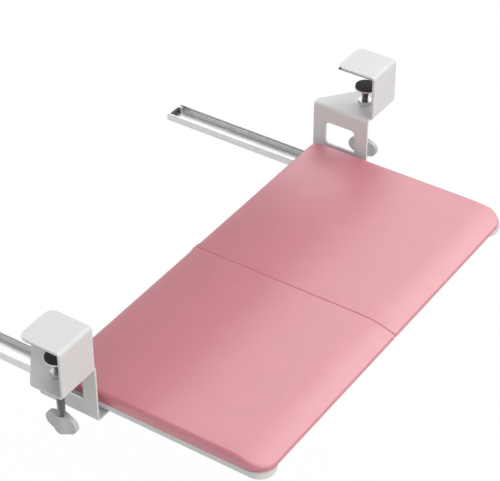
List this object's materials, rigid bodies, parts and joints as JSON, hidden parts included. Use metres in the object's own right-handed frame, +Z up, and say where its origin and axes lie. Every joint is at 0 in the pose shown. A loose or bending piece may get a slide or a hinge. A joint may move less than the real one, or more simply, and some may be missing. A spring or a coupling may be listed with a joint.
{
  "type": "clamp-on keyboard tray",
  "caption": "Under-desk keyboard tray: padded leather-covered top with a waterfall front, sliding on ball-bearing rails held by two screw clamps on the desk edge.",
  "frame": {"origin": "on the desk's top front edge, midway between the two clamps", "axes": "+X along the desk edge to the user's right, +Y back over the desk, +Z up"},
  "size_m": [0.7372, 0.5263, 0.1522],
  "materials": {
    "white_steel": "white powder coat, satin",
    "white_plastic": "moulded, satin",
    "black_rubber": "matt",
    "zinc_steel": "bright zinc plated",
    "dark_steel": "dark threaded rod",
    "screw_steel": "zinc plated",
    "retainer_steel": "pressed strip, lightly greased",
    "ball_steel": "polished",
    "rivet_aluminium": "as set",
    "grey_plastic": "moulded, fine grain",
    "black_plastic": "moulded",
    "pink_leather": "smooth coated leather, rose pink",
    "foam": "closed-cell foam sheet",
    "fibreboard": "bare medium-density fibreboard"
  },
  "bodies": {
    "desk_clamps": {"left_bracket": "white_steel", "right_bracket": "white_steel", "left_clamp_pad": "black_rubber", "right_clamp_pad": "black_rubber", "left_weld_nut": "zinc_steel", "right_weld_nut": "zinc_steel", "left_outer_rail": "zinc_steel", "right_outer_rail": "zinc_steel", "left_rail_rivets": "rivet_aluminium", "right_rail_rivets": "rivet_aluminium", "left_rail_bumper": "black_plastic", "right_rail_bumper": "black_plastic"},
    "tray": {"left_leather_cover": "pink_leather", "right_leather_cover": "pink_leather", "left_foam_layer": "foam", "right_foam_layer": "foam", "left_tray_board": "fibreboard", "right_tray_board": "fibreboard", "left_runner": "white_plastic", "right_runner": "white_plastic", "left_inner_rail": "zinc_steel", "right_inner_rail": "zinc_steel", "left_rail_screws": "screw_steel", "right_rail_screws": "screw_steel", "front_joining_plate": "zinc_steel", "rear_joining_plate": "zinc_steel", "joining_screws": "screw_steel"},
    "left_retainer": {"left_ball_retainer": "retainer_steel", "left_rail_balls": "ball_steel"},
    "left_foot": {"left_foot_cup": "zinc_steel", "left_foot_pad": "black_rubber"},
    "left_screw": {"left_clamp_screw": "dark_steel", "left_wing_knob": "grey_plastic"},
    "right_retainer": {"right_ball_retainer": "retainer_steel", "right_rail_balls": "ball_steel"},
    "right_foot": {"right_foot_cup": "zinc_steel", "right_foot_pad": "black_rubber"},
    "right_screw": {"right_clamp_screw": "dark_steel", "right_wing_knob": "grey_plastic"}
  },
  "joints": [
    {"name": "tray_slide", "type": "slide", "parent": "desk_clamps", "child": "tray", "axis": [0, 1, 0], "range_m": [0, 0.2223]},
    {"name": "left_retainer_slide", "type": "slide", "parent": "desk_clamps", "child": "left_retainer", "axis": [0, 1, 0], "range_m": [-0.0001, 0.1113]},
    {"name": "left_foot_slide", "type": "slide", "parent": "desk_clamps", "child": "left_foot", "axis": [0, 0, 1], "range_m": [-0.0135, 0.03]},
    {"name": "left_knob_turn", "type": "hinge", "parent": "left_foot", "child": "left_screw", "pos_m": [-0.3393, 0.0265, -0.0396], "axis": [0, 0, 1], "range_deg": [-3245, 7205]},
    {"name": "right_retainer_slide", "type": "slide", "parent": "desk_clamps", "child": "right_retainer", "axis": [0, 1, 0], "range_m": [-0.0001, 0.1113]},
    {"name": "right_foot_slide", "type": "slide", "parent": "desk_clamps", "child": "right_foot", "axis": [0, 0, 1], "range_m": [-0.0135, 0.03]},
    {"name": "right_knob_turn", "type": "hinge", "parent": "right_foot", "child": "right_screw", "pos_m": [0.3393, 0.0265, -0.0396], "axis": [0, 0, 1], "range_deg": [-3245, 7205]}
  ],
  "couplings": [
    {"joint": "left_retainer_slide", "follows": "tray_slide", "ratio": 0.5},
    {"joint": "left_knob_turn", "follows": "left_foot_slide", "rad_per_m": 4188.8},
    {"joint": "right_retainer_slide", "follows": "tray_slide", "ratio": 0.5},
    {"joint": "right_knob_turn", "follows": "right_foot_slide", "rad_per_m": 4188.8}
  ]
}
